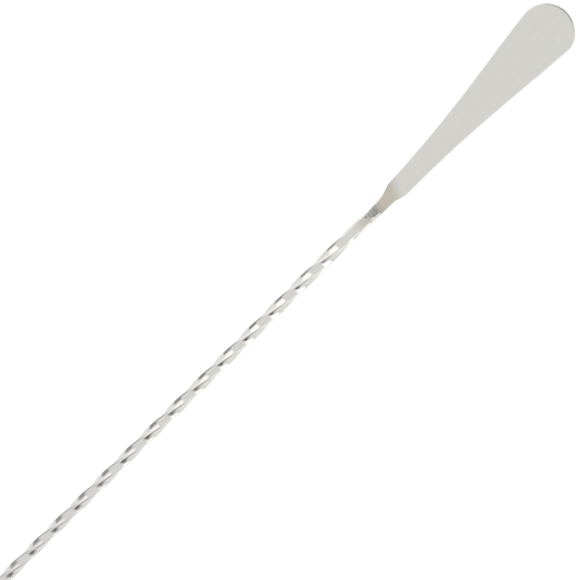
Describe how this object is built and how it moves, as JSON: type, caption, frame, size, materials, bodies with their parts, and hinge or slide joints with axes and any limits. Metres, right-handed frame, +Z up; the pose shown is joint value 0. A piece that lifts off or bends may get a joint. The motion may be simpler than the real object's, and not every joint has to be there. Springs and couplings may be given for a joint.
{
  "type": "bar spoon",
  "caption": "Long-handled mixing spoon: a flat round-ended blade, a right-hand twisted square stem and an egg-shaped bowl.",
  "frame": {"origin": "centre of the bounding box in plan, on the surface the spoon lies on", "axes": "+X along the spoon towards the blade's round end, +Z up out of the open side of the bowl, +Y to the left when looking towards +X"},
  "size_m": [0.3048, 0.027, 0.0089],
  "materials": {
    "polished_steel": "polished stainless steel",
    "ground_steel": "stainless weld, ground across and buffed"
  },
  "bodies": {
    "root": {"blade": "polished_steel", "blade_weld": "ground_steel", "stem": "polished_steel", "bowl_weld": "ground_steel", "bowl": "polished_steel"}
  },
  "joints": []
}
